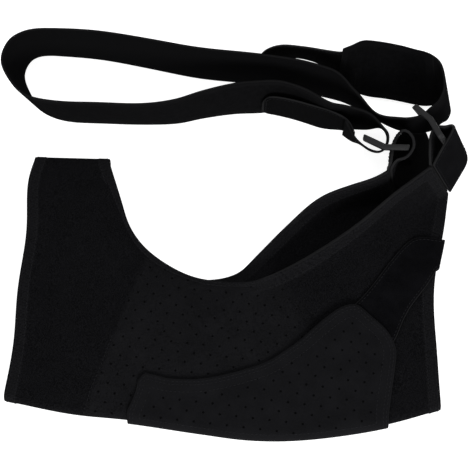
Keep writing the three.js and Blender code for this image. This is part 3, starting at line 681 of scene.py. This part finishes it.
def stitches(name, lines, sizes):
    """One mesh of short rounded stitches along lines on a surface."""
    mesh = bmesh.new()
    for line in lines:
        for place, normal, along in resampled(line, sizes.stitch + sizes.stitch_gap):
            side = normal.cross(along).normalized()
            rings = []
            for share, girth, lift in STITCH_RINGS:
                centre = place + along * (share * sizes.stitch) + normal * (lift * sizes.thread)
                ring = []
                for step in range(STITCH_SIDES):
                    turn = math.tau * step / STITCH_SIDES
                    reach = side * math.cos(turn) + normal * math.sin(turn)
                    ring.append(mesh.verts.new(centre + reach * (girth * sizes.thread)))
                rings.append(ring)
            for low, high in zip(rings, rings[1:]):
                for step in range(STITCH_SIDES):
                    after = (step + 1) % STITCH_SIDES
                    mesh.faces.new((low[step], low[after], high[after], high[step]))
            mesh.faces.new(rings[0][::-1])
            mesh.faces.new(rings[-1])
    bmesh.ops.recalc_face_normals(mesh, faces=mesh.faces)
    data = bpy.data.meshes.new(name)
    mesh.to_mesh(data)
    mesh.free()
    piece = bpy.data.objects.new(name, data)
    bpy.context.scene.collection.objects.link(piece)
    for face in data.polygons:
        face.use_smooth = True
    piece.data.materials.append(bpy.data.materials.get("sewing_thread") or thread_finish())
    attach(piece, BODY)
    return piece


def ease(value, start, end):
    """0 at start and 1 at end, smooth between them."""
    share = min(1.0, max(0.0, (value - start) / (end - start)))
    return share * share * (3 - 2 * share)


def push_out(mesh, amounts):
    """Moves each vertex along its normal, but not below the floor."""
    normals = [vertex.normal.copy() for vertex in mesh.vertices]
    for vertex, normal, amount in zip(mesh.vertices, normals, amounts):
        vertex.co += normal * amount
        vertex.co.z = max(vertex.co.z, 0.0)
    mesh.update()


def developed_map(mesh, fold_radius):
    """A map of the plan in which the turned folds are unrolled instead of squashed."""
    first = []
    second = []
    for vertex in mesh.vertices:
        turn = math.acos(max(-1.0, min(1.0, abs(vertex.normal.z))))
        slip = fold_radius * (turn - math.sin(turn))
        first.append(vertex.co.x)
        second.append(vertex.co.y + math.copysign(slip, vertex.normal.y))
    lay_map(mesh, first, second)


def between(rows, value):
    """The value at a place, from a short table of (place, value) rows in rising order."""
    if value <= rows[0][0]:
        return rows[0][1]
    for (start, low), (end, high) in zip(rows, rows[1:]):
        if value <= end:
            return low + (high - low) * (value - start) / (end - start)
    return rows[-1][1]


def zone_marks(mesh, low, high):
    """Distances in millimetres from the two borders of the perforated zone."""
    size = high - low
    left = []
    right = []
    for vertex in mesh.vertices:
        up = (vertex.co.y - low.y) / size.y
        along = (vertex.co.x - low.x) / size.x
        left.append((along - between(LEFT_ZONE, up)) * size.x / MM)
        right.append((between(RIGHT_ZONE, up) - along) * size.x / MM)
    return left, right


def off_floor(face):
    """True for a face that doesn't lie on the floor."""
    return face.center.z > OFF_FLOOR


def on_front_below(face, top):
    """True for a face of the front's outer side that lies below a line across the body."""
    return face.normal.z > 0.5 and face.center.y < top and face.center.z > FRONT_HEIGHT


class BRACE_OT_body(bpy.types.Operator):
    """Makes the folded body panel with its hems, zones and stitching."""

    bl_idname = "brace.body"
    bl_label = "Body panel"

    def execute(self, context):
        sizes = context.scene.brace_sizes
        piece = cut_to_quads("body_panel", "body_cloth")
        smooth(piece, 2, BODY_SOFTNESS)
        mesh = piece.data
        edge = edge_distances(mesh)
        store(mesh, EDGE, edge)
        low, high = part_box("body_panel")
        left, right = zone_marks(mesh, low, high)
        store(mesh, LEFT_MARK, left)
        store(mesh, RIGHT_MARK, right)
        hem_mm = sizes.hem / MM
        rises = [sizes.hem_rise * ease(hem_mm + 1 - d, 0, 2) if d > 0.4 else 0.0 for d in edge]
        push_out(mesh, rises)
        developed_map(mesh, BODY_FOLD)
        piece.data.materials.append(neoprene_finish())
        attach(piece, BODY)
        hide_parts("body_panel")
        lines = []
        for level in (OUTER_ROW, hem_mm - HEM_ROW_INSIDE):
            lines += contour(mesh, edge, level, off_floor)
        seam_top = low.y + SEAM_SHARE * (high.y - low.y)
        lines += contour(mesh, left, SEAM_ROW, lambda face: on_front_below(face, seam_top))
        seams = stitches("body_stitching", lines, sizes)
        return {"FINISHED"}


class BRACE_OT_cuff(bpy.types.Operator):
    """Makes the perforated cuff with its rows of stitches."""

    bl_idname = "brace.cuff"
    bl_label = "Cuff"

    def execute(self, context):
        sizes = context.scene.brace_sizes
        piece = cut_to_quads("cuff_panel", "cuff_cloth")
        smooth(piece, 2, RIM_SOFTNESS)
        mesh = piece.data
        edge = edge_distances(mesh)
        store(mesh, EDGE, edge)
        developed_map(mesh, CUFF_FOLD)
        mesh.materials.append(cuff_finish())
        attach(piece, BODY)
        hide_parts("cuff_panel")
        lines = []
        for level in (NARROW_ROW, SECOND_CUFF_ROW, sizes.hem / MM):
            lines += contour(mesh, edge, level, lambda face: face.normal.z > 0.3)
        seams = stitches("cuff_stitching", lines, sizes)
        return {"FINISHED"}


def ribbon(node, name, cuts, levels, finish, flat):
    """A strap or tab: a ribbon with a map along and across it."""
    low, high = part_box(node)
    piece = cut_to_quads(node, name)
    divide_widths(piece, cuts, max(edge_lengths(piece.data)) * CROSS_SHARE)
    smooth(piece, levels, RIM_SOFTNESS)
    mesh = piece.data
    edge = edge_distances(mesh)
    store(mesh, EDGE, edge)
    marks = rim_marks(mesh)
    heights = [vertex.co.z for vertex in mesh.vertices]
    middle = (low.z + high.z) / 2
    top = middle + flat[0] * 0.2
    upper = [i for i, mark in enumerate(marks) if mark > ON_RIM and heights[i] > top]
    across = walked(mesh, upper)
    spans = [(edge[v.index] == 0.0) * abs(v.co.x - low.x) for v in mesh.vertices]
    along = walked(mesh, [spans.index(max(spans))])
    lay_map(mesh, along, across)
    store(mesh, OUTER, outer_marks(mesh, marks))
    mesh.materials.append(finish)
    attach(piece, BODY)
    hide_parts(node)
    return piece, edge


def outer_marks(mesh, marks):
    """1 on the broad side with the leftmost vertex, 0 on the other side, half on the rim."""
    rim = {i for i, mark in enumerate(marks) if mark > ON_RIM}
    start = min(set(range(len(marks))) - rim, key=lambda i: mesh.vertices[i].co.x)
    walks = walked(mesh, [start], rim)
    return [0.5 if i in rim else float(walk < math.inf) for i, walk in enumerate(walks)]


def edge_lengths(mesh):
    points = mesh.vertices
    return [(points[e.vertices[0]].co - points[e.vertices[1]].co).length for e in mesh.edges]


class BRACE_OT_band(bpy.types.Operator):
    """Makes the plush closing band."""

    bl_idname = "brace.band"
    bl_label = "Closing band"

    def execute(self, context):
        sizes = context.scene.brace_sizes
        piece = cut_to_quads("closing_band", "band_cloth")
        smooth(piece, 2, RIM_SOFTNESS)
        mesh = piece.data
        edge = edge_distances(mesh)
        store(mesh, EDGE, edge)
        mesh.materials.append(plush_finish())
        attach(piece, BODY)
        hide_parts("closing_band")
        lines = contour(mesh, edge, NARROW_ROW, lambda face: face.normal.z > 0.4)
        seams = stitches("band_stitching", lines, sizes)
        return {"FINISHED"}


class BRACE_OT_tabs(bpy.types.Operator):
    """Makes the two ring tabs."""

    bl_idname = "brace.tabs"
    bl_label = "Ring tabs"

    def execute(self, context):
        sizes = context.scene.brace_sizes
        finish = plush_finish()
        for side in ("front", "back"):
            piece, edge = ribbon(f"{side}_ring_tab", f"{side}_tab_cloth", 5, 2, finish,
                                 FLAT["tab"])
            lines = contour(piece.data, edge, OUTER_ROW, off_floor)
            seams = stitches(f"{side}_tab_stitching", lines, sizes)
        return {"FINISHED"}


class BRACE_OT_strap(bpy.types.Operator):
    """Makes the webbing strap and its two hook tabs."""

    bl_idname = "brace.strap"
    bl_label = "Strap"

    def execute(self, context):
        sizes = context.scene.brace_sizes
        ribbon("strap", "strap_webbing", 9, 1, webbing_finish(), FLAT["strap"])
        finish = hook_finish()
        for side in ("near", "far"):
            piece, edge = ribbon(f"{side}_hook_tab", f"{side}_hook_tape", 5, 2, finish,
                                 FLAT["hook"])
            lines = contour(piece.data, edge, NARROW_ROW, off_floor)
            seams = stitches(f"{side}_hook_stitching", lines, sizes)
        return {"FINISHED"}


class BRACE_OT_rings(bpy.types.Operator):
    """Makes the two moulded ring buckles."""

    bl_idname = "brace.rings"
    bl_label = "Rings"

    def execute(self, context):
        finish = plastic_finish()
        for side in ("front", "back"):
            piece = cut_to_quads(f"{side}_ring", f"{side}_buckle")
            deselect()
            context.view_layer.objects.active = piece
            piece.select_set(True)
            rounding = piece.modifiers.new("round", "BEVEL")
            rounding.width = RING_ROUNDING
            rounding.segments = 3
            rounding.limit_method = "ANGLE"
            rounding.angle_limit = math.radians(20)
            bpy.ops.object.modifier_apply(modifier=rounding.name)
            bpy.ops.object.shade_smooth_by_angle(angle=math.radians(40))
            piece.data.materials.append(finish)
            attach(piece, BODY)
            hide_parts(f"{side}_ring")
        return {"FINISHED"}


def aimed(item, place, aim):
    """Puts a lamp or camera at a place, looking at its aim."""
    item.location = place
    item.rotation_euler = (aim - place).to_track_quat("-Z", "Y").to_euler()


class BRACE_OT_stage(bpy.types.Operator):
    """Makes the floor, the lights and the camera."""

    bl_idname = "brace.stage"
    bl_label = "Stage"

    def execute(self, context):
        scene = context.scene
        scene.view_settings.view_transform = "Standard"
        deselect()
        bpy.ops.mesh.primitive_plane_add(size=FLOOR_SIZE, location=(0, 0, 0))
        floor = context.object
        floor.name = "floor"
        paper = Finish("white_paper", roughness=0.9, specular=0.2)
        where, _ = paper.coordinates()
        tone = paper.noise(where, PAPER_SCALE)
        paper.paint(paper.mix(tone, (0.48, 0.48, 0.48), (0.52, 0.52, 0.52)))
        paper.shader.inputs["Emission Color"].default_value = (1, 1, 1, 1)
        paper.shader.inputs["Emission Strength"].default_value = FLOOR_GLOW
        floor.data.materials.append(paper.material)
        world = bpy.data.worlds.new("studio")
        world.use_nodes = True
        background = world.node_tree.nodes["Background"]
        background.inputs["Color"].default_value = (1, 1, 1, 1)
        background.inputs["Strength"].default_value = WORLD_STRENGTH
        scene.world = world
        for row in LAMPS:
            lamp = bpy.data.lights.new(row["name"], "AREA")
            lamp.size = row["size"]
            lamp.energy = row["power"]
            holder = bpy.data.objects.new(row["name"], lamp)
            scene.collection.objects.link(holder)
            aimed(holder, Vector(row["place"]), Vector((0, 0, 0)))
        camera = bpy.data.cameras.new("camera")
        camera.lens = CAMERA_LENS
        camera.sensor_width = 36.0
        camera.clip_start = 0.01
        camera.clip_end = 50.0
        holder = bpy.data.objects.new("camera", camera)
        scene.collection.objects.link(holder)
        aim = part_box("body_panel")[0] + CAMERA_AIM
        back = Vector((0, -math.cos(CAMERA_RISE), math.sin(CAMERA_RISE)))
        aimed(holder, aim + back * CAMERA_DISTANCE, aim)
        scene.camera = holder
        return {"FINISHED"}


OPERATORS = (BRACE_OT_stage, BRACE_OT_body, BRACE_OT_cuff, BRACE_OT_band, BRACE_OT_tabs,
             BRACE_OT_strap, BRACE_OT_rings)


class BRACE_PT_panel(bpy.types.Panel):
    """Lists the brace's pieces, sizes and colours."""

    bl_label = "Shoulder brace"
    bl_idname = "BRACE_PT_panel"
    bl_space_type = "VIEW_3D"
    bl_region_type = "UI"
    bl_category = "Brace"

    def draw(self, context):
        for operator in OPERATORS:
            self.layout.operator(operator.bl_idname)
        for group in (context.scene.brace_sizes, context.scene.brace_colours):
            for name in group.__annotations__:
                self.layout.prop(group, name)


CLASSES = (BraceSizes, BraceColours, *OPERATORS, BRACE_PT_panel)


def register():
    for item in CLASSES:
        bpy.utils.register_class(item)
    bpy.types.Scene.brace_sizes = bpy.props.PointerProperty(type=BraceSizes)
    bpy.types.Scene.brace_colours = bpy.props.PointerProperty(type=BraceColours)


def unregister():
    del bpy.types.Scene.brace_colours
    del bpy.types.Scene.brace_sizes
    for item in reversed(CLASSES):
        bpy.utils.unregister_class(item)


def main():
    register()
    bpy.ops.brace.stage()
    bpy.ops.brace.body()
    bpy.ops.brace.cuff()
    bpy.ops.brace.band()
    bpy.ops.brace.tabs()
    bpy.ops.brace.strap()
    bpy.ops.brace.rings()


if __name__ == "__main__":
    main()
